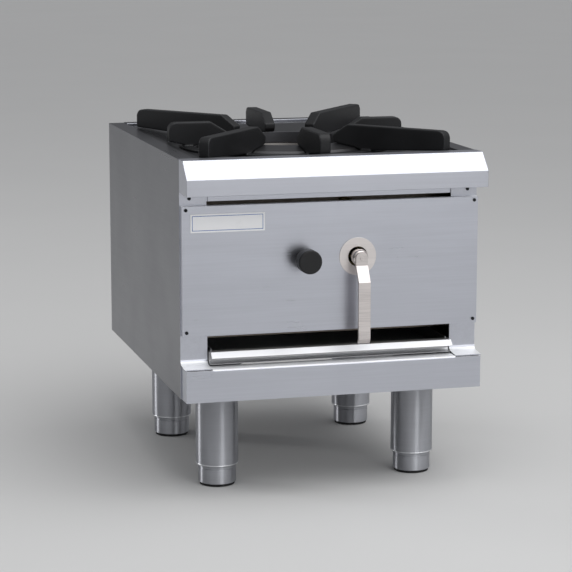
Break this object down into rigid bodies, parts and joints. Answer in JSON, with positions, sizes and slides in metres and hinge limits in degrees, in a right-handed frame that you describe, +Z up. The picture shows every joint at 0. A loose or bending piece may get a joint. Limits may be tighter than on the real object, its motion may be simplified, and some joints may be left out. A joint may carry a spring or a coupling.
{
  "type": "stock pot range",
  "caption": "Low gas stock pot range: steel casing on adjustable legs, radial cast trivet over a ring burner, lever tap, push button and slide-out drip tray.",
  "frame": {"origin": "on the floor under the centre of the object's box", "axes": "+X to the right as seen from the front, +Y towards the back, +Z up; the front faces -Y"},
  "size_m": [0.45, 0.615, 0.527],
  "materials": {
    "steel_panel": "satin, grained along each panel",
    "hob_steel": "satin",
    "inner_steel": "plain sheet",
    "leg_steel": "satin tube",
    "foot_steel": "turned",
    "pad_rubber": "matt",
    "fixing_black": "blackened",
    "fixing_zinc": "zinc plated",
    "badge": "white enamel",
    "iron": "black stoved",
    "burner_iron": "as cast",
    "shutter_steel": "plain",
    "brass": "machined",
    "pipe_steel": "mill finish",
    "pilot_aluminium": "drawn",
    "copper_lead": "drawn copper",
    "handle_metal": "brushed, slightly warm",
    "knob_black": "matt black",
    "stem_steel": "turned"
  },
  "bodies": {
    "frame": {"side_panel_left": "steel_panel", "side_panel_right": "steel_panel", "back_panel": "steel_panel", "hob_top": "hob_steel", "front_nose": "steel_panel", "top_front_rail": "steel_panel", "rail_screws": "fixing_black", "front_panel": "steel_panel", "panel_screws": "fixing_black", "escutcheon": "handle_metal", "badge_plate": "badge", "plinth_fascia": "steel_panel", "front_baffle": "inner_steel", "bearer_left": "inner_steel", "bearer_right": "inner_steel", "leg_front_left": "leg_steel", "leg_front_right": "leg_steel", "leg_rear_left": "leg_steel", "leg_rear_right": "leg_steel", "leg_bolts": "fixing_zinc", "tray_runner_left": "inner_steel", "tray_runner_right": "inner_steel", "spill_bowl": "hob_steel", "burner_body": "burner_iron", "burner_bracket": "inner_steel", "mixing_tube": "burner_iron", "injector": "brass", "feed_pipe": "brass", "main_valve_body": "brass", "safety_valve_body": "brass", "supply_pipe": "pipe_steel", "link_pipe": "brass", "pilot_burner": "brass", "pilot_tube": "pilot_aluminium", "thermocouple": "copper_lead"},
    "lever": {"lever_hub": "handle_metal", "lever_handle": "handle_metal", "lever_screw": "handle_metal", "valve_plug": "brass"},
    "button": {"button_cap": "knob_black", "button_stem": "stem_steel"},
    "tray": {"drip_tray": "inner_steel"},
    "trivet_body": {"trivet": "iron"},
    "head": {"burner_head": "burner_iron"},
    "shutter": {"air_shutter": "shutter_steel"},
    "foot_front_left": {"foot_insert_front_left": "foot_steel", "foot_pad_front_left": "pad_rubber"},
    "foot_front_right": {"foot_insert_front_right": "foot_steel", "foot_pad_front_right": "pad_rubber"},
    "foot_rear_left": {"foot_insert_rear_left": "foot_steel", "foot_pad_rear_left": "pad_rubber"},
    "foot_rear_right": {"foot_insert_rear_right": "foot_steel", "foot_pad_rear_right": "pad_rubber"}
  },
  "joints": [
    {"name": "lever_turn", "type": "hinge", "parent": "frame", "child": "lever", "pos_m": [0.0385, -0.2575, 0.3505], "axis": [0, -1, 0], "range_deg": [0, 90]},
    {"name": "button_push", "type": "slide", "parent": "frame", "child": "button", "axis": [0, 1, 0], "range_m": [0, 0.008], "stiffness_N_per_m": 600, "springref_m": -0.008},
    {"name": "tray_slide", "type": "slide", "parent": "frame", "child": "tray", "axis": [0, -1, 0], "range_m": [0, 0.45]},
    {"name": "trivet_lift", "type": "slide", "parent": "frame", "child": "trivet_body", "axis": [0, 0, 1], "range_m": [0, 0.1]},
    {"name": "head_lift", "type": "slide", "parent": "frame", "child": "head", "axis": [0, 0, 1], "range_m": [0, 0.09]},
    {"name": "shutter_turn", "type": "hinge", "parent": "frame", "child": "shutter", "pos_m": [0.0385, -0.1425, 0.425], "axis": [0, 1, 0], "range_deg": [0, 60]},
    {"name": "foot_screw_front_left", "type": "slide", "parent": "frame", "child": "foot_front_left", "axis": [0, 0, -1], "range_m": [0, 0.03]},
    {"name": "foot_screw_front_right", "type": "slide", "parent": "frame", "child": "foot_front_right", "axis": [0, 0, -1], "range_m": [0, 0.03]},
    {"name": "foot_screw_rear_left", "type": "slide", "parent": "frame", "child": "foot_rear_left", "axis": [0, 0, -1], "range_m": [0, 0.03]},
    {"name": "foot_screw_rear_right", "type": "slide", "parent": "frame", "child": "foot_rear_right", "axis": [0, 0, -1], "range_m": [0, 0.03]}
  ]
}
